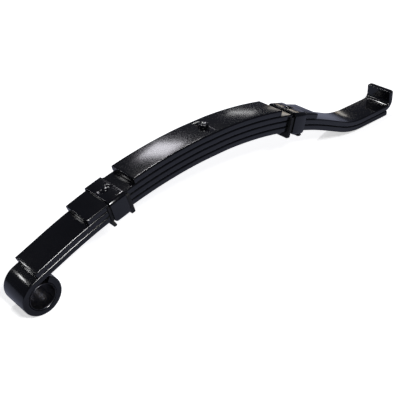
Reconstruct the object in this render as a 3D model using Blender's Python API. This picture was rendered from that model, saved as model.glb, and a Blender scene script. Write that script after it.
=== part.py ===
"""Four-leaf vehicle spring with one rolled eye, one hooked end and two lined rebound clips.

The pack is modelled in the frame of its centre seat: X runs along the seat from the eye
towards the hook, Y is the width, Z is the seat's normal and the origin lies on the centre
bolt's axis, on the upper face of the main leaf. An empty then tilts the whole pack until
it stands on the eye and on the main leaf's plain end. Lengths are in metres.
"""

import math

import bmesh
import bpy
from mathutils import Vector

# Leaves: all four are cut from one flat bar with rounded edges.
LEAF_WIDTH = 0.076
LEAF_THICKNESS = 0.014
LEAF_EDGE_RADIUS = 0.0035
GAP = 0.0003
PITCH = LEAF_THICKNESS + GAP

# Line of the pack, along the upper face of the main leaf, from the seat outwards.
SEAT_HALF = 0.020
SEAT_BLEND = 0.030
EYE_CAMBER_RADIUS = 1.101
EYE_CAMBER = math.radians(20.95)
HOOK_CAMBER_RADIUS = 0.942
HOOK_CAMBER = math.radians(23.65)
HOOK_RAMP = 0.065
SLIPPER_RADIUS = 0.220
SLIPPER_TURN = math.radians(22.9)

# How far each leaf reaches from the centre bolt, measured along that line.
MAIN_LEAF_TO_EYE = 0.4865
HOOK_LEAF_TO_EYE = 0.473
THIRD_LEAF_HALF = 0.335
SHORT_LEAF_TO_EYE = 0.214
SHORT_LEAF_TO_HOOK = 0.2015
SLIPPER_FLAT = 0.104

# Rolled eye of the main leaf, and the thin wrapped bush pressed into it.
EYE_RADIUS = 0.0435
EYE_BORE_RADIUS = EYE_RADIUS - LEAF_THICKNESS
EYE_TIP_CLEARANCE = math.radians(2.5)
BUSH_WALL = 0.0017

# Upturned hook of the second leaf, beyond the end of the main leaf.
HOOK_START = 0.0985
HOOK_INNER_RADIUS = 0.012
HOOK_TURN = math.radians(92.5)
HOOK_STRAIGHT = 0.025
HOOK_CORNER_RADIUS = 0.004

# Centre bolt: round locating head on the short leaf, hexagon nut under the main leaf.
BOLT_RADIUS = 0.006
BOLT_HOLE_RADIUS = 0.0066
BOLT_HEAD_RADIUS = 0.0115
BOLT_HEAD_HEIGHT = 0.008
BOLT_HEAD_CHAMFER = 0.0015
NUT_ACROSS_FLATS = 0.019
NUT_HEIGHT = 0.010
BOLT_END_BEYOND_NUT = 0.004

# Clips: a strap riveted on top of the third leaf, folded under the main leaf, over a
# moulded liner. The liner sits nearer to the centre bolt than its strap does.
CLIP_AT_EYE_SIDE = -0.2630
CLIP_AT_HOOK_SIDE = 0.2655
STRAP_WIDTH = 0.040
STRAP_THICKNESS = 0.004
STRAP_BEND_RADIUS = 0.006
STRAP_FOLD_RADIUS = 0.003
STRAP_TAB_WIDTH = 0.020
STRAP_TAB_REACH = 0.018
LINER_LENGTH = 0.054
LINER_WALL = 0.002
LINER_FIT = 0.0007
LINER_FLANGE = 0.0075
LINER_FLANGE_HANG = 0.0125
EYE_LINER_SHIFT = 0.001
HOOK_LINER_SHIFT = 0.0075
RIVET_RADIUS = 0.005
RIVET_HOLE_RADIUS = 0.0054
RIVET_HEAD_RADIUS = 0.009
RIVET_HEAD_HEIGHT = 0.004
RIVET_SINK = 0.004

SMOOTH_STEP = math.radians(1.6)
TIGHT_STEP = math.radians(9.0)
ROUND_SIDES = 32
SHARP_ANGLE = math.radians(35)


def clear_scene():
    for obj in list(bpy.data.objects):
        bpy.data.objects.remove(obj, do_unlink=True)


def painted(name, colour, roughness, metallic):
    """A plain Principled material."""
    material = bpy.data.materials.new(name)
    material.use_nodes = True
    shader = material.node_tree.nodes["Principled BSDF"]
    shader.inputs["Base Color"].default_value = (*colour, 1.0)
    shader.inputs["Roughness"].default_value = roughness
    shader.inputs["Metallic"].default_value = metallic
    return material


def new_object(name, bm, material):
    """Turns a bmesh into an object with outward faces, shaded smooth below SHARP_ANGLE."""
    bmesh.ops.recalc_face_normals(bm, faces=bm.faces)
    mesh = bpy.data.meshes.new(name)
    bm.to_mesh(mesh)
    bm.free()
    mesh.shade_smooth()
    mesh.set_sharp_from_angle(angle=SHARP_ANGLE)
    obj = bpy.data.objects.new(name, mesh)
    bpy.context.scene.collection.objects.link(obj)
    if material:
        obj.data.materials.append(material)
    return obj


def cut(obj, cutter):
    modifier = obj.modifiers.new("hole", "BOOLEAN")
    modifier.operation = "DIFFERENCE"
    modifier.solver = "EXACT"
    modifier.object = cutter


def as_cutter(obj):
    obj.hide_render = True
    obj.display_type = "WIRE"
    return obj


# The line of the pack ------------------------------------------------------------------


class Line:
    """A planar line that starts at the origin along +X and grows by straights and arcs.

    Each station is (point, normal, travelled length); a positive turn bends upwards.
    """

    def __init__(self):
        self.heading = 0.0
        self.stations = [(Vector((0.0, 0.0)), Vector((0.0, 1.0)), 0.0)]

    def straight(self, length):
        point, normal, travelled = self.stations[-1]
        ahead = Vector((math.cos(self.heading), math.sin(self.heading)))
        self.stations.append((point + ahead * length, normal, travelled + length))
        return self

    def arc(self, radius, turn, step=SMOOTH_STEP):
        point, normal, travelled = self.stations[-1]
        side = math.copysign(1.0, turn)
        centre = point + normal * radius * side
        count = math.ceil(abs(turn) / step)
        for i in range(1, count + 1):
            angle = self.heading + turn * i / count
            outward = Vector((-math.sin(angle), math.cos(angle)))
            length = travelled + radius * abs(turn) * i / count
            self.stations.append((centre - outward * radius * side, outward, length))
        self.heading += turn
        return self

    def cut_at(self, length):
        """The stations up to this travelled length, the last one worked out between two."""
        kept = [station for station in self.stations if station[2] < length]
        after = self.stations[len(kept)]
        before = kept[-1]
        share = (length - before[2]) / (after[2] - before[2])
        point = before[0].lerp(after[0], share)
        normal = before[1].lerp(after[1], share).normalized()
        return kept + [(point, normal, length)]


def cambered_line(radius, camber):
    """From the flat seat, through a short blend, into the long downward camber."""
    blend_turn = (SEAT_HALF + SEAT_BLEND) / radius
    line = Line().straight(SEAT_HALF)
    line.arc(SEAT_BLEND / blend_turn, -blend_turn)
    return line.arc(radius, blend_turn - camber)


def eye_side_line():
    """Towards the eye, drawn along +X and mirrored later."""
    line = cambered_line(EYE_CAMBER_RADIUS, EYE_CAMBER)
    return line.straight(MAIN_LEAF_TO_EYE - line.stations[-1][2])


def hook_side_line(last_straight):
    """Towards the hook: camber, ramp, reverse bend and the flat of the slipper end."""
    line = cambered_line(HOOK_CAMBER_RADIUS, HOOK_CAMBER).straight(HOOK_RAMP)
    line.arc(SLIPPER_RADIUS, SLIPPER_TURN)
    return line.straight(last_straight)


def mirrored(stations):
    """The same stations on the eye side of the seat, ordered towards the seat."""
    flip = [(Vector((-p.x, p.y)), Vector((-n.x, n.y)), -s) for p, n, s in stations]
    return flip[:0:-1]


# Solids --------------------------------------------------------------------------------


def swept(sections):
    """A closed band through four-cornered sections, and its edges along the sweep."""
    bm = bmesh.new()
    rings = [[bm.verts.new(corner) for corner in section] for section in sections]
    for ring, following in zip(rings, rings[1:]):
        for i in range(4):
            j = (i + 1) % 4
            bm.faces.new((ring[i], ring[j], following[j], following[i]))
    bm.faces.new(rings[0][::-1])
    bm.faces.new(rings[-1])
    bmesh.ops.recalc_face_normals(bm, faces=bm.faces)
    caps = {edge for ring in (rings[0], rings[-1]) for edge in ring_edges(bm, ring)}
    along = [
        edge
        for edge in bm.edges
        if edge not in caps and edge.calc_face_angle() > SHARP_ANGLE
    ]
    return bm, rings, along


def ring_edges(bm, ring):
    return [bm.edges.get((ring[i], ring[(i + 1) % 4])) for i in range(4)]


def leaf(name, stations, level, material, round_tip=False):
    """One leaf: a bar whose lower face lies `level` above the line through the stations."""
    half = LEAF_WIDTH / 2
    sections = []
    for point, normal, _ in stations:
        low = point + normal * level
        high = low + normal * LEAF_THICKNESS
        sections.append(
            (
                (low.x, -half, low.y),
                (low.x, half, low.y),
                (high.x, half, high.y),
                (high.x, -half, high.y),
            )
        )
    bm, rings, along = swept(sections)
    if round_tip:
        tip = rings[-1]
        corners = [bm.edges.get((tip[0], tip[3])), bm.edges.get((tip[1], tip[2]))]
        bmesh.ops.bevel(
            bm,
            geom=corners,
            offset=HOOK_CORNER_RADIUS,
            segments=5,
            profile=0.5,
            affect="EDGES",
        )
        bmesh.ops.recalc_face_normals(bm, faces=bm.faces)
        along = [
            edge
            for edge in bm.edges
            if edge.calc_face_angle() > SHARP_ANGLE
            and abs(edge.verts[0].co.y - edge.verts[1].co.y) < LEAF_WIDTH / 3
        ]
    bmesh.ops.bevel(
        bm,
        geom=along,
        offset=LEAF_EDGE_RADIUS,
        segments=3,
        profile=0.5,
        affect="EDGES",
    )
    return new_object(name, bm, material)


def turned(name, outline, material, sides=ROUND_SIDES):
    """A solid of revolution about Z from (radius, height) points, first and last on the axis."""
    bm = bmesh.new()
    rings = []
    for radius, height in outline:
        if radius == 0:
            rings.append([bm.verts.new((0, 0, height))] * sides)
            continue
        angles = [2 * math.pi * i / sides for i in range(sides)]
        rings.append(
            [
                bm.verts.new((radius * math.cos(a), radius * math.sin(a), height))
                for a in angles
            ]
        )
    for ring, following in zip(rings, rings[1:]):
        for i in range(sides):
            j = (i + 1) % sides
            corners = dict.fromkeys((ring[i], ring[j], following[j], following[i]))
            bm.faces.new(tuple(corners))
    return new_object(name, bm, material)


def tube(name, outer, inner, length, material, sides=48):
    """A straight tube along Y, centred on its origin."""
    bm = bmesh.new()
    rings = []
    for radius, y in (
        (outer, -length / 2),
        (outer, length / 2),
        (inner, length / 2),
        (inner, -length / 2),
    ):
        angles = [2 * math.pi * i / sides for i in range(sides)]
        rings.append(
            [
                bm.verts.new((radius * math.cos(a), y, radius * math.sin(a)))
                for a in angles
            ]
        )
    for k in range(4):
        ring, following = rings[k], rings[(k + 1) % 4]
        for i in range(sides):
            j = (i + 1) % sides
            bm.faces.new((ring[i], ring[j], following[j], following[i]))
    return new_object(name, bm, material)


# Leaves --------------------------------------------------------------------------------


def main_leaf(material):
    """Full-length lower leaf: its end is rolled down and round into the eye."""
    eye_side = eye_side_line()
    open_angle = math.acos(EYE_BORE_RADIUS / EYE_RADIUS) + EYE_TIP_CLEARANCE
    eye_side.arc(EYE_RADIUS, open_angle - 2 * math.pi, TIGHT_STEP)
    stations = mirrored(eye_side.stations) + hook_side_line(SLIPPER_FLAT).stations[1:]
    return leaf("main_leaf", stations, -LEAF_THICKNESS, material)


def eye_centre():
    point, normal, _ = eye_side_line().stations[-1]
    centre = point - normal * EYE_RADIUS
    return Vector((-centre.x, centre.y))


def hook_leaf(material):
    """Second leaf: square end above the eye, upturned hook beyond the main leaf's end."""
    hook_side = hook_side_line(HOOK_START)
    hook_side.arc(HOOK_INNER_RADIUS + PITCH, HOOK_TURN, TIGHT_STEP)
    hook_side.straight(HOOK_STRAIGHT)
    stations = mirrored(eye_side_line().cut_at(HOOK_LEAF_TO_EYE))
    stations += hook_side.stations[1:]
    return leaf("hook_leaf", stations, GAP, material, round_tip=True)


def upper_leaf(name, to_eye, to_hook, level, material):
    stations = mirrored(eye_side_line().cut_at(to_eye))
    stations += hook_side_line(SLIPPER_FLAT).cut_at(to_hook)[1:]
    return leaf(name, stations, level, material)


# Centre bolt ---------------------------------------------------------------------------


def centre_bolt(material):
    top = 3 * PITCH + GAP
    bottom = -LEAF_THICKNESS - GAP - NUT_HEIGHT - BOLT_END_BEYOND_NUT
    head_top = top + BOLT_HEAD_HEIGHT
    outline = (
        (0, head_top),
        (BOLT_HEAD_RADIUS - BOLT_HEAD_CHAMFER, head_top),
        (BOLT_HEAD_RADIUS, head_top - BOLT_HEAD_CHAMFER),
        (BOLT_HEAD_RADIUS, top),
        (BOLT_RADIUS, top),
        (BOLT_RADIUS, bottom + BOLT_RADIUS / 5),
        (BOLT_RADIUS * 0.8, bottom),
        (0, bottom),
    )
    return turned("centre_bolt", outline, material)


def centre_nut(material):
    """Hexagon nut with chamfered corners, its bore clear of the bolt's shank."""
    corner = NUT_ACROSS_FLATS / math.sqrt(3)
    top = -LEAF_THICKNESS - GAP
    outline = ((0, top), (corner, top), (corner, top - NUT_HEIGHT), (0, top - NUT_HEIGHT))
    nut = turned("centre_nut", outline, material, sides=6)
    bore = bolt_hole("nut_bore_cutter", BOLT_RADIUS + GAP, top, top - NUT_HEIGHT)
    cut(nut, bore)
    return nut, bore


def bolt_hole(name, radius, top, bottom):
    over = 0.005
    outline = ((0, top + over), (radius, top + over), (radius, bottom - over))
    return as_cutter(turned(name, outline + ((0, bottom - over),), None))


# Clips: drawn about their own station, X along the leaf and Z along its normal ----------


def pack_side():
    """Half the width from the middle of the pack to the inner face of a strap's leg."""
    return LEAF_WIDTH / 2 + GAP + LINER_WALL + GAP


def strap(name, material):
    """Flat strap over the third leaf, down both sides, its narrow ends folded underneath."""
    side = pack_side()
    low = -LEAF_THICKNESS - LINER_FIT - LINER_WALL - GAP
    high = 2 * PITCH + GAP
    quarter = math.pi / 2
    line = Line().straight(side - STRAP_BEND_RADIUS)
    line.arc(STRAP_BEND_RADIUS, -quarter, 2 * TIGHT_STEP)
    line.straight(high - low - STRAP_BEND_RADIUS - STRAP_FOLD_RADIUS)
    full_width = len(line.stations)
    line.arc(STRAP_FOLD_RADIUS, -quarter, 2 * TIGHT_STEP).straight(STRAP_TAB_REACH)
    half = [
        (point, normal, STRAP_WIDTH if i < full_width else STRAP_TAB_WIDTH)
        for i, (point, normal, _) in enumerate(line.stations)
    ][1:]
    mirror = [(Vector((-p.x, p.y)), Vector((-n.x, n.y)), width) for p, n, width in half]
    sections = []
    for point, normal, width in mirror[::-1] + half:
        inner = point + Vector((0, high))
        outer = inner + normal * STRAP_THICKNESS
        sections.append(
            (
                (-width / 2, inner.x, inner.y),
                (width / 2, inner.x, inner.y),
                (width / 2, outer.x, outer.y),
                (-width / 2, outer.x, outer.y),
            )
        )
    bm, _, along = swept(sections)
    bmesh.ops.bevel(
        bm, geom=along, offset=STRAP_THICKNESS / 5, segments=2, profile=0.5, affect="EDGES"
    )
    return new_object(name, bm, material)


def liner(name, seat_side, shift, material):
    """Moulded channel under and beside the pack, with a flange round its seat end.

    Its other end has only a rib under the pack. Both keep the strap's tabs between them.
    """
    half = LEAF_WIDTH / 2 + GAP
    bottom = -LEAF_THICKNESS - LINER_FIT
    top = 2 * PITCH - STRAP_BEND_RADIUS
    middle = seat_side * shift
    bend = STRAP_BEND_RADIUS - GAP - LINER_WALL
    line = Line().straight(half - bend).arc(bend, math.pi / 2, 2 * TIGHT_STEP)
    line.straight(top - bottom - bend)
    side = [(Vector((p.x, bottom + p.y)), n) for p, n, _ in line.stations[1:]]
    mirror = [(Vector((-p.x, p.y)), Vector((-n.x, n.y))) for p, n in side]
    low, high = middle - LINER_LENGTH / 2, middle + LINER_LENGTH / 2
    sections = []
    for inner, normal in mirror[::-1] + side:
        outer = inner - normal * LINER_WALL
        sections.append(
            (
                (low, outer.x, outer.y),
                (high, outer.x, outer.y),
                (high, inner.x, inner.y),
                (low, inner.x, inner.y),
            )
        )
    bm, _, _ = swept(sections)
    body = new_object(name, bm, material)
    reach = half + LINER_WALL
    outer_reach = reach + GAP + STRAP_THICKNESS
    beyond_strap = LINER_LENGTH / 2 - shift - STRAP_WIDTH / 2 - GAP
    if beyond_strap > LINER_WALL:
        rib, rib_reach = beyond_strap, outer_reach
    else:
        rib, rib_reach = LINER_FLANGE, reach
    if seat_side > 0:
        seat_end, far_end = (high - LINER_FLANGE, high), (low, low + rib)
    else:
        seat_end, far_end = (low, low + LINER_FLANGE), (high - rib, high)
    helpers = [
        liner_flange(name + "_flange", seat_end, half, outer_reach, bottom, top),
        liner_rib(name + "_rib", far_end, half, rib_reach, bottom),
    ]
    for helper in helpers:
        join = body.modifiers.new("flange", "BOOLEAN")
        join.operation = "UNION"
        join.solver = "EXACT"
        join.object = helper
    return body, helpers


def liner_flange(name, ends, half, reach, bottom, top):
    """Out to the strap's outer face on both sides of the pack, and hanging below it."""
    into_wall = LINER_WALL / 2
    hang = bottom - LINER_FLANGE_HANG
    corner = 0.003
    inner_corner = 0.0023
    outline = (
        (-reach, top),
        (-reach, hang + corner),
        (-reach + corner, hang),
        (reach - corner, hang),
        (reach, hang + corner),
        (reach, top),
        (half + into_wall, top),
        (half + into_wall, bottom + inner_corner),
        (half - inner_corner, bottom - into_wall),
        (-half + inner_corner, bottom - into_wall),
        (-half - into_wall, bottom + inner_corner),
        (-half - into_wall, top),
    )
    return as_cutter(plate(name, ends, outline))


def liner_rib(name, ends, half, reach, bottom):
    """Hanging below the pack: as wide as the flange where it clears the strap's legs."""
    hang = bottom - LINER_FLANGE_HANG
    corner = 0.003
    under_wall = bottom - LINER_WALL / 2
    inset = 0.006
    outline = (
        (-reach, hang + corner),
        (-reach + corner, hang),
        (reach - corner, hang),
        (reach, hang + corner),
        (reach, under_wall - inset),
        (half - inset, under_wall),
        (-half + inset, under_wall),
        (-reach, under_wall - inset),
    )
    return as_cutter(plate(name, ends, outline))


def plate(name, ends, outline):
    """A flat plate across the leaf, between two stations, from its (Y, Z) outline."""
    bm = bmesh.new()
    rings = [[bm.verts.new((x, y, z)) for y, z in outline] for x in ends]
    bm.faces.new(rings[0])
    bm.faces.new(rings[1][::-1])
    for i in range(len(outline)):
        j = (i + 1) % len(outline)
        bm.faces.new((rings[0][j], rings[0][i], rings[1][i], rings[1][j]))
    return new_object(name, bm, None)


def rivet(name, material):
    """Domed head on the strap, countersunk foot flush with the third leaf's lower face."""
    top = 2 * PITCH + GAP + STRAP_THICKNESS + GAP
    foot = PITCH + GAP
    dome = [
        (
            RIVET_HEAD_RADIUS * math.cos(angle),
            top + RIVET_HEAD_HEIGHT * math.sin(angle),
        )
        for angle in (math.radians(a) for a in (72, 54, 36, 18, 0))
    ]
    outline = [(0, top + RIVET_HEAD_HEIGHT)] + dome
    outline += [
        (RIVET_RADIUS, top),
        (RIVET_RADIUS, foot + RIVET_SINK),
        (RIVET_RADIUS + RIVET_SINK * 0.6, foot),
        (0, foot),
    ]
    return turned(name, outline, material)


def rivet_hole(name):
    """Clearance for a rivet through its strap and the third leaf, with its countersink."""
    over = 0.004
    top = 2 * PITCH + STRAP_THICKNESS + over
    foot = PITCH + GAP
    clear = RIVET_HOLE_RADIUS
    wide = clear + RIVET_SINK * 0.6 + 0.6 * over
    outline = (
        (0, top),
        (clear, top),
        (clear, foot + RIVET_SINK),
        (wide, foot - over),
        (0, foot - over),
    )
    return as_cutter(turned(name, outline, None))


def clip(prefix, at, liner_shift, third_leaf, steel, moulding):
    """The three pieces of a clip, set on the pack's line at this distance from the bolt."""
    line = eye_side_line() if at < 0 else hook_side_line(SLIPPER_FLAT)
    point, normal, _ = line.cut_at(abs(at))[-1]
    side = math.copysign(1.0, at)
    pieces = [strap(prefix + "_strap", steel), rivet(prefix + "_rivet", steel)]
    hole = rivet_hole(prefix + "_rivet_hole_cutter")
    body, helpers = liner(prefix + "_liner", -side, liner_shift, moulding)
    cut(pieces[0], hole)
    cut(third_leaf, hole)
    pieces += [hole, body] + helpers
    for piece in pieces:
        piece.location = (side * point.x, 0, point.y)
        piece.rotation_euler = (0, math.atan2(side * normal.x, normal.y), 0)
    return pieces


# Assembly ------------------------------------------------------------------------------


def standing_tilt():
    """Turn about Y that puts the eye and the main leaf's plain end on one level."""
    point, normal, _ = hook_side_line(SLIPPER_FLAT).stations[-1]
    reach = point - normal * LEAF_THICKNESS - eye_centre()
    return math.asin(EYE_RADIUS / reach.length) + math.atan2(reach.y, reach.x)


def stand(pieces):
    """Hangs the pieces on one empty, tilts it, and centres the pack on the ground."""
    frame = bpy.data.objects.new("spring_frame", None)
    bpy.context.scene.collection.objects.link(frame)
    for piece in pieces:
        piece.parent = frame
    frame.rotation_euler = (0, standing_tilt(), 0)
    bpy.context.view_layer.update()
    corners = [
        piece.matrix_world @ vert.co
        for piece in pieces
        if not piece.hide_render
        for vert in piece.data.vertices
    ]
    left = min(corner.x for corner in corners)
    right = max(corner.x for corner in corners)
    bottom = min(corner.z for corner in corners)
    frame.location = (-(left + right) / 2, 0, -bottom)


def build():
    clear_scene()
    black_paint = painted("black_paint", (0.012, 0.012, 0.015), 0.28, 0.0)
    black_rubber = painted("black_rubber", (0.015, 0.015, 0.016), 0.6, 0.0)
    plated_steel = painted("bush_steel", (0.05, 0.05, 0.05), 0.4, 1.0)

    lower = main_leaf(black_paint)
    hooked = hook_leaf(black_paint)
    third = upper_leaf(
        "third_leaf", THIRD_LEAF_HALF, THIRD_LEAF_HALF, PITCH + GAP, black_paint
    )
    short = upper_leaf(
        "short_leaf", SHORT_LEAF_TO_EYE, SHORT_LEAF_TO_HOOK, 2 * PITCH + GAP, black_paint
    )
    leaves = [lower, hooked, third, short]
    hole = bolt_hole("bolt_hole_cutter", BOLT_HOLE_RADIUS, 3 * PITCH, -LEAF_THICKNESS)
    for each in leaves:
        cut(each, hole)

    bush = tube(
        "eye_bush",
        EYE_BORE_RADIUS - GAP,
        EYE_BORE_RADIUS - GAP - BUSH_WALL,
        LEAF_WIDTH,
        plated_steel,
    )
    centre = eye_centre()
    bush.location = (centre.x, 0, centre.y)

    nut, nut_bore = centre_nut(black_paint)
    pieces = leaves + [bush, centre_bolt(black_paint), nut, hole, nut_bore]
    clips = (
        ("eye_clip", CLIP_AT_EYE_SIDE, EYE_LINER_SHIFT),
        ("hook_clip", CLIP_AT_HOOK_SIDE, HOOK_LINER_SHIFT),
    )
    for prefix, at, liner_shift in clips:
        pieces += clip(prefix, at, liner_shift, third, black_paint, black_rubber)
    stand(pieces)


build()
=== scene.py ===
"""Looks of a black painted four-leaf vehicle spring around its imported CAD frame.

The leaves, clips, bolt, nut, rivets and bush are rebuilt with finer curves and softened
edges on the same line as the CAD, then given paint, rubber and steel. The pack is drawn in
the frame of its centre seat (X towards the hook, Z the seat's normal, origin on the bolt's
axis at the main leaf's upper face) and placed on the CAD by its bush. Lengths in metres.
"""

import math

import bmesh
import bpy
from mathutils import Matrix, Quaternion, Vector


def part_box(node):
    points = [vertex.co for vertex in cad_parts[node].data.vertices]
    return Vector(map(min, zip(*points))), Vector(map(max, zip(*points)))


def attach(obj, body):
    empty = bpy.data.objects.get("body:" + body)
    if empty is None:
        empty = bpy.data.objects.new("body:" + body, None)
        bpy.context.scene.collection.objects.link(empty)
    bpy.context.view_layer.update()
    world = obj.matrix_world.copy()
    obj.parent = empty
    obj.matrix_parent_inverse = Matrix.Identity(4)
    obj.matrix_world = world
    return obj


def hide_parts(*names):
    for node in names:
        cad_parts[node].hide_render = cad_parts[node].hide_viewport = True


# Leaves.
LEAF_WIDTH = 0.076
LEAF_THICKNESS = 0.014
LEAF_EDGE_RADIUS = 0.0035
CUT_END_RADIUS = 0.0007
GAP = 0.0003
PITCH = LEAF_THICKNESS + GAP

# Line of the pack along the upper face of the main leaf, from the seat outwards.
SEAT_HALF = 0.020
SEAT_BLEND = 0.030
EYE_CAMBER_RADIUS = 1.101
EYE_CAMBER = math.radians(20.95)
HOOK_CAMBER_RADIUS = 0.942
HOOK_CAMBER = math.radians(23.65)
HOOK_RAMP = 0.065
SLIPPER_RADIUS = 0.220
SLIPPER_TURN = math.radians(22.9)

# Reach of each leaf from the centre bolt along that line.
MAIN_LEAF_TO_EYE = 0.4865
HOOK_LEAF_TO_EYE = 0.473
THIRD_LEAF_HALF = 0.335
SHORT_LEAF_TO_EYE = 0.214
SHORT_LEAF_TO_HOOK = 0.2015
SLIPPER_FLAT = 0.104

# Rolled eye and bush.
EYE_RADIUS = 0.0435
EYE_BORE_RADIUS = EYE_RADIUS - LEAF_THICKNESS
EYE_TIP_CLEARANCE = math.radians(2.5)
BUSH_WALL = 0.0017
BUSH_SLIT = math.radians(1.2)
BUSH_SLIT_AT = math.radians(-35)

# Hook of the second leaf.
HOOK_START = 0.0985
HOOK_INNER_RADIUS = 0.012
HOOK_TURN = math.radians(92.5)
HOOK_STRAIGHT = 0.025
HOOK_CORNER_RADIUS = 0.004

# Centre bolt and nut.
BOLT_RADIUS = 0.006
BOLT_HOLE_RADIUS = 0.0066
BOLT_HEAD_RADIUS = 0.0115
BOLT_HEAD_HEIGHT = 0.008
BOLT_HEAD_CHAMFER = 0.0015
BOLT_DIMPLE_RADIUS = 0.00575
BOLT_DIMPLE_DEPTH = 0.0012
BOLT_TIP_RADIUS = 0.0048
THREAD_PITCH = 0.00175
THREAD_DEPTH = 0.0007
NUT_ACROSS_FLATS = 0.019
NUT_HEIGHT = 0.010
NUT_CORNER_BEVEL = math.radians(30)
NUT_CORNER_TRIM = 0.985
NUT_BORE_CHAMFER = 0.0006
BOLT_END_BEYOND_NUT = 0.004

# Clips.
CLIP_AT_EYE_SIDE = -0.2630
CLIP_AT_HOOK_SIDE = 0.2655
STRAP_WIDTH = 0.040
STRAP_THICKNESS = 0.004
STRAP_EDGE_RADIUS = 0.0008
STRAP_BEND_RADIUS = 0.006
STRAP_FOLD_RADIUS = 0.003
STRAP_TAB_WIDTH = 0.020
STRAP_TAB_REACH = 0.018
STRAP_TAB_BLEND = 0.004
LINER_WALL = 0.002
LINER_FIT = 0.0007
RIVET_RADIUS = 0.005
RIVET_HOLE_RADIUS = 0.0054
RIVET_HEAD_RADIUS = 0.009
RIVET_HEAD_HEIGHT = 0.004
RIVET_SINK = 0.004
RIVET_SINK_SLOPE = 0.6

# Turn per step on long bends and on tight ones, and the angle from which edges stay sharp.
LONG_STEP = math.radians(0.3)
SHORT_STEP = math.radians(3.0)
SHARP_ANGLE = math.radians(32)

# Camera: lens and sensor in millimetres, then its place, its right side and its line of sight.
LENS = 68.854
SENSOR_WIDTH = 36.0
CAMERA_PLACE = Vector((-1.0044862, -1.1020613, 1.0091403))
CAMERA_RIGHT = Vector((0.74129687, -0.66841144, -0.06086957))
CAMERA_FORWARD = Vector((0.5266051, 0.63545262, -0.56470084))

# Half the length of the floor's sides, and colours of the studio lights.
FLOOR_REACH = 6.0
WHITE_LIGHT = (1.0, 1.0, 1.0)
LAVENDER_LIGHT = (0.95, 0.93, 1.0)
CREAM_LIGHT = (1.0, 0.96, 0.88)
WARM_LIGHT = (1.0, 0.72, 0.42)

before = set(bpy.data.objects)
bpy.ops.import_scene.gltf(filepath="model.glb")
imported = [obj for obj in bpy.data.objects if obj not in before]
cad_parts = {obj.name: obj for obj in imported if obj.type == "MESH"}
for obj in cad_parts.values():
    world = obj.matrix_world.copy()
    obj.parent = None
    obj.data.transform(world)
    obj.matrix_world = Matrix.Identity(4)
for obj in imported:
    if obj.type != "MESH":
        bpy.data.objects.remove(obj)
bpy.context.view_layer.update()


# The line of the pack -------------------------------------------------------------------


class Line:
    """A planar line from the origin along +X, grown by straights and arcs.

    Each station is (point, normal, travelled length); a positive turn bends upwards.
    """

    def __init__(self):
        self.heading = 0.0
        self.stations = [(Vector((0.0, 0.0)), Vector((0.0, 1.0)), 0.0)]

    def straight(self, length, parts=1):
        """Goes straight ahead."""
        ahead = Vector((math.cos(self.heading), math.sin(self.heading)))
        for _ in range(parts):
            point, normal, travelled = self.stations[-1]
            step = length / parts
            self.stations.append((point + ahead * step, normal, travelled + step))
        return self

    def arc(self, radius, turn, step=LONG_STEP):
        """Bends along a circle in turns no larger than this step."""
        point, normal, travelled = self.stations[-1]
        side = math.copysign(1.0, turn)
        centre = point + normal * radius * side
        count = math.ceil(abs(turn) / step)
        for i in range(1, count + 1):
            angle = self.heading + turn * i / count
            outward = Vector((-math.sin(angle), math.cos(angle)))
            length = travelled + radius * abs(turn) * i / count
            self.stations.append((centre - outward * radius * side, outward, length))
        self.heading += turn
        return self

    def cut_at(self, length):
        """The stations up to this travelled length, the last one worked out between two."""
        kept = [station for station in self.stations if station[2] < length]
        after = self.stations[len(kept)]
        before = kept[-1]
        share = (length - before[2]) / (after[2] - before[2])
        point = before[0].lerp(after[0], share)
        normal = before[1].lerp(after[1], share).normalized()
        return kept + [(point, normal, length)]


def cambered_line(radius, camber):
    """From the flat seat, through a short blend, into the long downward camber."""
    blend_turn = (SEAT_HALF + SEAT_BLEND) / radius
    line = Line().straight(SEAT_HALF, parts=2)
    line.arc(SEAT_BLEND / blend_turn, -blend_turn)
    return line.arc(radius, blend_turn - camber)


def eye_side_line():
    """Towards the eye, drawn along +X and mirrored later."""
    line = cambered_line(EYE_CAMBER_RADIUS, EYE_CAMBER)
    return line.straight(MAIN_LEAF_TO_EYE - line.stations[-1][2], parts=12)


def hook_side_line(last_straight):
    """Towards the hook: camber, ramp, reverse bend and the flat of the slipper end."""
    line = cambered_line(HOOK_CAMBER_RADIUS, HOOK_CAMBER).straight(HOOK_RAMP, parts=10)
    line.arc(SLIPPER_RADIUS, SLIPPER_TURN, 4 * LONG_STEP)
    return line.straight(last_straight, parts=14)


def mirrored(stations):
    """The same stations on the eye side of the seat, ordered towards the seat."""
    flip = [(Vector((-p.x, p.y)), Vector((-n.x, n.y)), -s) for p, n, s in stations]
    return flip[:0:-1]


def eye_centre():
    """Middle of the rolled eye, below the end of the eye side's line."""
    point, normal, _ = eye_side_line().stations[-1]
    centre = point - normal * EYE_RADIUS
    return Vector((-centre.x, 0, centre.y))


def pack_to_world():
    """Turns the seat's frame until the pack stands, and sets its eye on the CAD bush."""
    point, normal, _ = hook_side_line(SLIPPER_FLAT).stations[-1]
    centre = eye_centre()
    reach = point - normal * LEAF_THICKNESS - Vector((centre.x, centre.z))
    tilt = math.asin(EYE_RADIUS / reach.length) + math.atan2(reach.y, reach.x)
    turn = Matrix.Rotation(tilt, 4, "Y")
    low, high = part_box("eye_bush")
    return Matrix.Translation((low + high) / 2 - turn @ centre) @ turn


TO_WORLD = pack_to_world()


# Mesh tools -----------------------------------------------------------------------------


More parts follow.
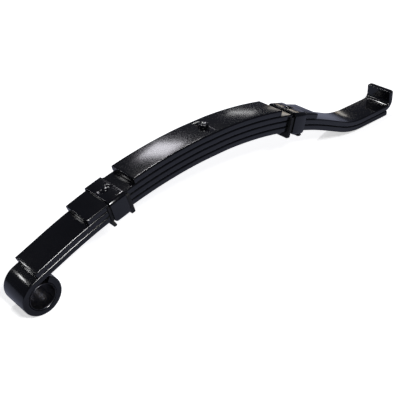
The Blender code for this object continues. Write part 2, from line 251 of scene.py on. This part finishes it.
def finished(name, bm, node, material, place=TO_WORLD):
    """Turns a bmesh into the piece that stands for a CAD node, or into a tool without one."""
    bmesh.ops.recalc_face_normals(bm, faces=bm.faces)
    bm.transform(place)
    mesh = bpy.data.meshes.new(name)
    bm.to_mesh(mesh)
    bm.free()
    mesh.shade_smooth()
    mesh.set_sharp_from_angle(angle=SHARP_ANGLE)
    obj = bpy.data.objects.new(name, mesh)
    bpy.context.scene.collection.objects.link(obj)
    if node:
        mesh.materials.append(material)
        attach(obj, "root")
        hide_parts(node)
    return obj


def skin(sections, joined=False):
    """A closed skin through loops of equally many points, capped or with its ends joined."""
    bm = bmesh.new()
    rings = [[bm.verts.new(point) for point in section] for section in sections]
    next_rings = rings[1:] + rings[:1] if joined else rings[1:]
    for ring, following in zip(rings, next_rings):
        for i in range(len(ring)):
            j = (i + 1) % len(ring)
            bm.faces.new((ring[i], ring[j], following[j], following[i]))
    if not joined:
        bm.faces.new(rings[0][::-1])
        bm.faces.new(rings[-1])
    return bm


def rounded_box(half, low, high, radius, arc_points=7):
    """Outline of a bar's cross-section with rounded corners, as (across, up) points."""
    outline = []
    corners = ((half, low, -90), (half, high, 0), (-half, high, 90), (-half, low, 180))
    for across, up, start in corners:
        centre_across = across - math.copysign(radius, across)
        centre_up = up + radius if up == low else up - radius
        for i in range(arc_points):
            angle = math.radians(start + 90 * i / (arc_points - 1))
            point_across = centre_across + radius * math.cos(angle)
            point_up = centre_up + radius * math.sin(angle)
            outline.append((point_across, point_up))
    return outline


def softened(stations, radius, steps=3):
    """Stations of a bar with its end edges rounded, as (point, normal, inset, from_end)."""
    first, last = stations[0], stations[-1]
    start, end = first[2] + 2 * radius, last[2] - 2 * radius
    middle = [
        (point, normal, 0.0, last[2] - travelled)
        for point, normal, travelled in stations
        if start < travelled < end
    ]
    turns = []
    for i in range(steps + 1):
        angle = math.pi / 2 * i / steps
        turns.append((radius * (1 - math.sin(angle)), radius * (1 - math.cos(angle))))
    ahead = [Vector((normal.y, -normal.x)) for _, normal, _ in (first, last)]
    opening = [
        (first[0] + ahead[0] * back, first[1], inset, last[2] - first[2])
        for back, inset in turns[::-1]
    ]
    closing = [(last[0] - ahead[1] * back, last[1], inset, back) for back, inset in turns]
    return opening + middle + closing


def turned(name, outline, sides, node, material, place=TO_WORLD):
    """A solid of revolution about Z from (radius, height) points, first and last on it."""
    bm = bmesh.new()
    rings = []
    for radius, height in outline:
        if radius == 0:
            rings.append([bm.verts.new((0, 0, height))] * sides)
            continue
        angles = [2 * math.pi * i / sides for i in range(sides)]
        rings.append(
            [bm.verts.new((radius * math.cos(a), radius * math.sin(a), height)) for a in angles]
        )
    for ring, following in zip(rings, rings[1:]):
        for i in range(sides):
            j = (i + 1) % sides
            corners = dict.fromkeys((ring[i], ring[j], following[j], following[i]))
            bm.faces.new(tuple(corners))
    return finished(name, bm, node, material, place)


def rounded_steps(radius, height, corner, steps=4):
    """Points round the upper outer corner of a turned outline, from the top outwards."""
    points = []
    for i in range(steps + 1):
        angle = math.pi / 2 * (1 - i / steps)
        across = radius - corner + corner * math.cos(angle)
        points.append((across, height - corner + corner * math.sin(angle)))
    return points


def drill(obj, cutter):
    """Cuts a hole for good, so that the piece keeps no modifier."""
    modifier = obj.modifiers.new("hole", "BOOLEAN")
    modifier.operation = "DIFFERENCE"
    modifier.solver = "EXACT"
    modifier.object = cutter
    graph = bpy.context.evaluated_depsgraph_get()
    mesh = bpy.data.meshes.new_from_object(obj.evaluated_get(graph))
    obj.modifiers.clear()
    obj.data = mesh


def hole_cutter(radius, top, bottom):
    """A plain round tool along the bolt's axis, between two heights."""
    outline = ((0, top), (radius, top), (radius, bottom), (0, bottom))
    return turned("hole_cutter", outline, 48, None, None)


# Materials ------------------------------------------------------------------------------


def new_material(name):
    """A material with its node tree and its Principled shader."""
    material = bpy.data.materials.new(name)
    material.use_nodes = True
    return material, material.node_tree, material.node_tree.nodes["Principled BSDF"]


def noise_at(tree, scale, detail, distortion=0.0):
    """A noise texture in object coordinates; scale is in cells per metre."""
    where = tree.nodes.new("ShaderNodeTexCoord")
    texture = tree.nodes.new("ShaderNodeTexNoise")
    texture.inputs["Scale"].default_value = scale
    texture.inputs["Detail"].default_value = detail
    texture.inputs["Distortion"].default_value = distortion
    tree.links.new(where.outputs["Object"], texture.inputs["Vector"])
    return texture.outputs["Fac"]


def ramp(tree, value, stops):
    """A colour ramp with (position, grey or colour) stops."""
    node = tree.nodes.new("ShaderNodeValToRGB")
    elements = node.color_ramp.elements
    while len(elements) < len(stops):
        elements.new(0.5)
    for element, (position, colour) in zip(elements, stops):
        element.position = position
        element.color = (*colour, 1.0) if isinstance(colour, tuple) else (colour,) * 3 + (1.0,)
    tree.links.new(value, node.inputs["Fac"])
    return node.outputs["Color"]


def bumped(tree, height, depth, under=None):
    """A bump whose depth is in metres, on top of another normal."""
    node = tree.nodes.new("ShaderNodeBump")
    node.inputs["Distance"].default_value = depth
    tree.links.new(height, node.inputs["Height"])
    if under:
        tree.links.new(under, node.inputs["Normal"])
    return node.outputs["Normal"]


def mixed(tree, share, first, second):
    """The first colour, giving way to the second by this share."""
    node = tree.nodes.new("ShaderNodeMix")
    node.data_type = "RGBA"
    tree.links.new(share, node.inputs["Factor"])
    tree.links.new(first, node.inputs["A"])
    tree.links.new(second, node.inputs["B"])
    return node.outputs["Result"]


def gloss_paint():
    """Dipped black paint: orange peel, slow ripples, dull specks and a little grey dust."""
    material, tree, shader = new_material("gloss_black_paint")
    shader.inputs["IOR"].default_value = 1.5
    shader.inputs["Coat Weight"].default_value = 0.35
    shader.inputs["Coat Roughness"].default_value = 0.12
    patches = noise_at(tree, 22, 4, 0.6)
    specks = noise_at(tree, 620, 2)
    paint = ramp(tree, patches, ((0.3, (0.0011, 0.0012, 0.0018)), (0.7, (0.0024, 0.0025, 0.0036))))
    dust = ramp(tree, specks, ((0.60, 0.0), (0.74, 0.5)))
    dusty = ramp(tree, patches, ((0.4, (0.009, 0.009, 0.010)), (0.6, (0.018, 0.017, 0.016))))
    tree.links.new(mixed(tree, dust, paint, dusty), shader.inputs["Base Color"])
    gloss = ramp(tree, specks, ((0.38, 0.14), (0.62, 0.19)))
    tree.links.new(gloss, shader.inputs["Roughness"])
    ripples = bumped(tree, noise_at(tree, 40, 2), 0.00015)
    peel = bumped(tree, noise_at(tree, 380, 2, 0.3), 0.00004, ripples)
    grain = bumped(tree, specks, 0.00003, peel)
    tree.links.new(grain, shader.inputs["Normal"])
    return material


def moulded_rubber():
    """Matt black liner with a fine moulded grain and paler rubbed patches."""
    material, tree, shader = new_material("black_liner_rubber")
    shader.inputs["IOR"].default_value = 1.5
    patches = noise_at(tree, 70, 5, 0.5)
    colour = ramp(tree, patches, ((0.35, (0.002, 0.002, 0.0026)), (0.75, (0.006, 0.006, 0.0065))))
    tree.links.new(colour, shader.inputs["Base Color"])
    tree.links.new(ramp(tree, patches, ((0.3, 0.45), (0.7, 0.7))), shader.inputs["Roughness"])
    grain = bumped(tree, noise_at(tree, 1400, 2), 0.0001)
    waves = bumped(tree, noise_at(tree, 160, 2), 0.0004, grain)
    tree.links.new(waves, shader.inputs["Normal"])
    return material


def bush_steel():
    """Thin steel sleeve: dark and lightly oiled, with a faint brown bloom."""
    material, tree, shader = new_material("dark_bush_steel")
    shader.inputs["Metallic"].default_value = 1.0
    bloom = noise_at(tree, 180, 6, 0.8)
    colour = ramp(tree, bloom, ((0.4, (0.06, 0.062, 0.075)), (0.8, (0.11, 0.10, 0.09))))
    tree.links.new(colour, shader.inputs["Base Color"])
    tree.links.new(ramp(tree, bloom, ((0.3, 0.3), (0.7, 0.55))), shader.inputs["Roughness"])
    tree.links.new(bumped(tree, noise_at(tree, 700, 3), 0.00015), shader.inputs["Normal"])
    return material


# Leaves ---------------------------------------------------------------------------------


def leaf(name, stations, level, material, tip_corner=0.0):
    """One leaf: a bar whose lower face lies `level` above the line through the stations."""
    sections = []
    for point, normal, inset, from_end in softened(stations, CUT_END_RADIUS):
        half = LEAF_WIDTH / 2 - inset
        if from_end < tip_corner:
            across = tip_corner - from_end
            half -= tip_corner - math.sqrt(tip_corner**2 - across**2)
        outline = rounded_box(
            half, level + inset, level + LEAF_THICKNESS - inset, LEAF_EDGE_RADIUS - inset
        )
        corners = [(point + normal * up, across) for across, up in outline]
        sections.append([(at.x, across, at.y) for at, across in corners])
    return finished(name, skin(sections), name.removesuffix("_skin"), material)


def main_leaf(material):
    """Full-length lower leaf: its end is rolled down and round into the eye."""
    eye_side = eye_side_line()
    open_angle = math.acos(EYE_BORE_RADIUS / EYE_RADIUS) + EYE_TIP_CLEARANCE
    eye_side.arc(EYE_RADIUS, open_angle - 2 * math.pi, SHORT_STEP)
    stations = mirrored(eye_side.stations) + hook_side_line(SLIPPER_FLAT).stations[1:]
    return leaf("main_leaf_skin", stations, -LEAF_THICKNESS, material)


def hook_leaf(material):
    """Second leaf: square end above the eye, upturned hook beyond the main leaf's end."""
    hook_side = hook_side_line(HOOK_START)
    hook_side.arc(HOOK_INNER_RADIUS + PITCH, HOOK_TURN, SHORT_STEP)
    hook_side.straight(HOOK_STRAIGHT, parts=40)
    stations = mirrored(eye_side_line().cut_at(HOOK_LEAF_TO_EYE)) + hook_side.stations[1:]
    return leaf("hook_leaf_skin", stations, GAP, material, tip_corner=HOOK_CORNER_RADIUS)


def upper_leaf(name, to_eye, to_hook, level, material):
    """A leaf with two plain cut ends, this far from the bolt on each side."""
    stations = mirrored(eye_side_line().cut_at(to_eye))
    stations += hook_side_line(SLIPPER_FLAT).cut_at(to_hook)[1:]
    return leaf(name, stations, level, material)


def leaves(material):
    """Makes the four leaves with the bolt's hole; gives the third one, which carries clips."""
    third = upper_leaf(
        "third_leaf_skin", THIRD_LEAF_HALF, THIRD_LEAF_HALF, PITCH + GAP, material
    )
    short = upper_leaf(
        "short_leaf_skin", SHORT_LEAF_TO_EYE, SHORT_LEAF_TO_HOOK, 2 * PITCH + GAP, material
    )
    hole = hole_cutter(BOLT_HOLE_RADIUS, 4 * PITCH, -2 * PITCH)
    for each in (main_leaf(material), hook_leaf(material), third, short):
        drill(each, hole)
    bpy.data.objects.remove(hole)
    return third


# Bush, bolt and nut ---------------------------------------------------------------------


def bush(material):
    """Sleeve in the eye, its rims chamfered, with the narrow slit of a wrapped bush."""
    outer = EYE_BORE_RADIUS - GAP
    inner = outer - BUSH_WALL
    half = LEAF_WIDTH / 2
    rim = BUSH_WALL / 3
    outline = (
        (outer, -half + rim),
        (outer, half - rim),
        (outer - rim, half),
        (inner + rim, half),
        (inner, half - rim),
        (inner, -half + rim),
        (inner + rim, -half),
        (outer - rim, -half),
    )
    centre = eye_centre()
    sides = 120
    sections = []
    for i in range(sides + 1):
        angle = BUSH_SLIT_AT + BUSH_SLIT / 2 + (2 * math.pi - BUSH_SLIT) * i / sides
        along, up = math.cos(angle), math.sin(angle)
        sections.append([(centre.x + r * along, y, centre.z + r * up) for r, y in outline])
    return finished("eye_bush_sleeve", skin(sections), "eye_bush", material)


def centre_bolt(material):
    """Locating head with a turned dimple, plain shank and a threaded end."""
    top = 3 * PITCH + GAP
    head_top = top + BOLT_HEAD_HEIGHT
    nut_top = -LEAF_THICKNESS - GAP
    bottom = nut_top - NUT_HEIGHT - BOLT_END_BEYOND_NUT
    outline = [
        (0, head_top - BOLT_DIMPLE_DEPTH),
        (BOLT_DIMPLE_RADIUS * 0.6, head_top - BOLT_DIMPLE_DEPTH * 0.75),
        (BOLT_DIMPLE_RADIUS, head_top),
    ]
    outline += rounded_steps(BOLT_HEAD_RADIUS, head_top, BOLT_HEAD_CHAMFER)
    outline += [(BOLT_HEAD_RADIUS, top), (BOLT_RADIUS, top), (BOLT_RADIUS, nut_top)]
    turns = int((nut_top - bottom) / THREAD_PITCH)
    for i in range(turns):
        crest = nut_top - THREAD_PITCH * i
        outline.append((BOLT_RADIUS - THREAD_DEPTH, crest - THREAD_PITCH / 2))
        outline.append((BOLT_RADIUS, crest - THREAD_PITCH))
    outline += [(BOLT_TIP_RADIUS, bottom), (0, bottom)]
    return turned("centre_bolt_turned", outline, 64, "centre_bolt", material)


def centre_nut(material):
    """Hexagon nut: a chamfered disc cut back to six flats, bored for the bolt."""
    corner = NUT_ACROSS_FLATS / math.sqrt(3)
    flat = NUT_ACROSS_FLATS / 2
    top = -LEAF_THICKNESS - GAP
    low = top - NUT_HEIGHT
    bore = BOLT_RADIUS + GAP
    fall = (corner - flat) * math.tan(NUT_CORNER_BEVEL)
    sides = 96
    sections = []
    for i in range(sides):
        angle = 2 * math.pi * i / sides
        across = (angle + math.pi / 6) % (math.pi / 3) - math.pi / 6
        reach = min(flat / math.cos(across), corner * NUT_CORNER_TRIM)
        drop = fall * (reach - flat) / (corner - flat)
        outline = (
            (flat, top),
            (reach, top - drop),
            (reach, low + drop),
            (flat, low),
            (bore + NUT_BORE_CHAMFER, low),
            (bore, low + NUT_BORE_CHAMFER),
            (bore, top - NUT_BORE_CHAMFER),
            (bore + NUT_BORE_CHAMFER, top),
        )
        sections.append([(r * math.cos(angle), r * math.sin(angle), z) for r, z in outline])
    return finished("centre_nut_hex", skin(sections, joined=True), "centre_nut", material)


# Clips: drawn about their own station, X along the leaf and Z along its normal -----------


def clip_place(at):
    """The clip's own frame in the world, at this distance from the bolt along the line."""
    line = eye_side_line() if at < 0 else hook_side_line(SLIPPER_FLAT)
    point, normal, _ = line.cut_at(abs(at))[-1]
    side = math.copysign(1.0, at)
    turn = Matrix.Rotation(math.atan2(side * normal.x, normal.y), 4, "Y")
    return TO_WORLD @ Matrix.Translation((side * point.x, 0, point.y)) @ turn


def strap(prefix, place, material):
    """Flat strap over the third leaf, down both sides, its narrow ends folded underneath."""
    side = LEAF_WIDTH / 2 + GAP + LINER_WALL + GAP
    low = -LEAF_THICKNESS - LINER_FIT - LINER_WALL - GAP
    high = 2 * PITCH + GAP
    quarter = math.pi / 2
    line = Line().straight(side - STRAP_BEND_RADIUS, parts=4)
    line.arc(STRAP_BEND_RADIUS, -quarter, 2 * SHORT_STEP)
    line.straight(high - low - STRAP_BEND_RADIUS - STRAP_FOLD_RADIUS, parts=6)
    leg_end = line.stations[-1][2]
    line.arc(STRAP_FOLD_RADIUS, -quarter, 2 * SHORT_STEP).straight(STRAP_TAB_REACH, parts=4)
    stations = mirrored(line.stations) + line.stations
    sections = []
    for point, normal, inset, from_end in softened(stations, STRAP_EDGE_RADIUS):
        travelled = abs(stations[-1][2] - from_end)
        share = min(1.0, max(0.0, (travelled - leg_end) / STRAP_TAB_BLEND))
        width = STRAP_WIDTH + (STRAP_TAB_WIDTH - STRAP_WIDTH) * share
        outline = rounded_box(
            width / 2 - inset,
            inset,
            STRAP_THICKNESS - inset,
            max(STRAP_EDGE_RADIUS - inset, 0.0001),
            arc_points=4,
        )
        section = []
        for along, up in outline:
            at = point + normal * up + Vector((0, high))
            section.append((along, at.x, at.y))
        sections.append(section)
    bm = skin(sections)
    return finished(prefix + "_strap_bent", bm, prefix + "_strap", material, place)


def rivet(prefix, place, material):
    """Domed head on the strap, countersunk foot flush with the third leaf's lower face."""
    top = 2 * PITCH + GAP + STRAP_THICKNESS + GAP
    foot = PITCH + GAP
    outline = [(0, top + RIVET_HEAD_HEIGHT)]
    for i in range(1, 11):
        angle = math.pi / 2 * (1 - i / 10)
        across = RIVET_HEAD_RADIUS * math.cos(angle)
        outline.append((across, top + RIVET_HEAD_HEIGHT * math.sin(angle)))
    outline += [
        (RIVET_RADIUS, top),
        (RIVET_RADIUS, foot + RIVET_SINK),
        (RIVET_RADIUS + RIVET_SINK * RIVET_SINK_SLOPE, foot),
        (0, foot),
    ]
    return turned(prefix + "_rivet_domed", outline, 48, prefix + "_rivet", material, place)


def rivet_cutter(place):
    """Clearance for a rivet through its strap and the third leaf, with its countersink."""
    top = 2 * PITCH + 2 * STRAP_THICKNESS
    foot = PITCH + GAP
    wide = RIVET_HOLE_RADIUS + RIVET_SINK_SLOPE * 2 * RIVET_SINK
    outline = (
        (0, top),
        (RIVET_HOLE_RADIUS, top),
        (RIVET_HOLE_RADIUS, foot + RIVET_SINK),
        (wide, foot - RIVET_SINK),
        (0, foot - RIVET_SINK),
    )
    return turned("rivet_cutter", outline, 48, None, None, place)


def clip(prefix, at, third_leaf, material):
    """One clip's strap, held by a rivet through the third leaf."""
    place = clip_place(at)
    band = strap(prefix, place, material)
    rivet(prefix, place, material)
    cutter = rivet_cutter(place)
    drill(band, cutter)
    drill(third_leaf, cutter)
    bpy.data.objects.remove(cutter)


# Studio ---------------------------------------------------------------------------------


def studio_floor():
    """Large pale sweep, darker in the spring's reflections than the camera sees it."""
    bm = bmesh.new()
    corners = ((-1, -1), (1, -1), (1, 1), (-1, 1))
    bm.faces.new([bm.verts.new((x * FLOOR_REACH, y * FLOOR_REACH, 0)) for x, y in corners])
    mesh = bpy.data.meshes.new("studio_floor")
    bm.to_mesh(mesh)
    bm.free()
    floor = bpy.data.objects.new("studio_floor", mesh)
    bpy.context.scene.collection.objects.link(floor)
    material, tree, shader = new_material("pale_floor")
    seen = tree.nodes.new("ShaderNodeLightPath").outputs["Is Camera Ray"]
    pale = ramp(tree, seen, ((0.0, (0.32, 0.34, 0.44)), (1.0, (0.97, 0.97, 0.97))))
    tree.links.new(pale, shader.inputs["Base Color"])
    tree.links.new(seen, shader.inputs["Emission Color"])
    shader.inputs["Emission Strength"].default_value = 0.6
    shader.inputs["Roughness"].default_value = 0.9
    shader.inputs["Specular IOR Level"].default_value = 0.0
    mesh.materials.append(material)


def softbox(name, target, azimuth, elevation, distance, size, power, colour=WHITE_LIGHT, roll=0):
    """An area light seen from its target at this azimuth (from +Y towards +X) and elevation."""
    light = bpy.data.lights.new(name, "AREA")
    light.shape = "RECTANGLE"
    light.size, light.size_y = size
    light.energy = power
    light.color = colour
    turn, rise = math.radians(azimuth), math.radians(elevation)
    level = math.cos(rise)
    away = Vector((math.sin(turn) * level, math.cos(turn) * level, math.sin(rise)))
    obj = bpy.data.objects.new(name, light)
    obj.location = Vector(target) + away * distance
    rolled = Quaternion((0, 0, 1), math.radians(roll))
    obj.rotation_euler = (away.to_track_quat("Z", "Y") @ rolled).to_euler()
    bpy.context.scene.collection.objects.link(obj)


def studio_light():
    """Softboxes that the leaves mirror in patches, under a dim blue-grey surround."""
    softbox("over_eye_side", (-0.45, 0, 0.13), 184, 47, 2.2, (0.50, 0.40), 34)
    softbox("over_hook_side", (0.55, 0, 0.03), 5, 62, 2.6, (0.5, 0.2), 14)
    softbox(
        "top_leaf_patch", (-0.17, 0, 0.21), 33, 35.7, 2.4, (0.44, 0.34), 3.6, LAVENDER_LIGHT, -39
    )
    softbox("top_leaf_end", (0.07, 0, 0.19), 48.5, 15, 3.0, (0.34, 0.14), 0.5)
    softbox("slipper_patch", (0.40, 0, 0.04), 53, 10, 2.4, (0.36, 0.2), 0.42, CREAM_LIGHT)
    softbox("eye_patch", (-0.55, 0, 0.08), -22.3, 39, 2.3, (0.30, 0.16), 3.0)
    softbox("hook_crease", (0.552, 0, 0.029), 29, 54, 2.4, (0.34, 0.3), 5)
    softbox("warm_corner", (0.2, 0, 0.15), 54, 4, 2.4, (0.3, 0.06), 0.08, WARM_LIGHT)
    world = bpy.data.worlds.new("studio")
    bpy.context.scene.world = world
    world.use_nodes = True
    tree = world.node_tree
    seen = tree.nodes.new("ShaderNodeLightPath").outputs["Is Camera Ray"]
    glow = ramp(tree, seen, ((0.0, (0.05, 0.053, 0.07)), (1.0, (1.0, 1.0, 1.0))))
    tree.links.new(glow, tree.nodes["Background"].inputs["Color"])
    bpy.context.scene.view_settings.view_transform = "Standard"


def camera():
    """Looks down over the eye end, rolled so that the pack climbs towards the hook."""
    data = bpy.data.cameras.new("camera")
    data.sensor_width = SENSOR_WIDTH
    data.lens = LENS
    data.clip_start = 0.05
    data.clip_end = 50.0
    obj = bpy.data.objects.new("camera", data)
    up = CAMERA_RIGHT.cross(CAMERA_FORWARD).normalized()
    axes = Matrix((CAMERA_RIGHT, up, -CAMERA_FORWARD)).transposed()
    obj.matrix_world = Matrix.Translation(CAMERA_PLACE) @ axes.to_4x4()
    bpy.context.scene.collection.objects.link(obj)
    bpy.context.scene.camera = obj


# Assembly -------------------------------------------------------------------------------

paint = gloss_paint()
rubber = moulded_rubber()

third = leaves(paint)
bush(bush_steel())
centre_bolt(paint)
centre_nut(paint)
clip("eye_clip", CLIP_AT_EYE_SIDE, third, paint)
clip("hook_clip", CLIP_AT_HOOK_SIDE, third, paint)
for name in ("eye_clip_liner", "hook_clip_liner"):
    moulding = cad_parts[name]
    moulding.data.materials.clear()
    moulding.data.materials.append(rubber)

camera()
studio_floor()
studio_light()
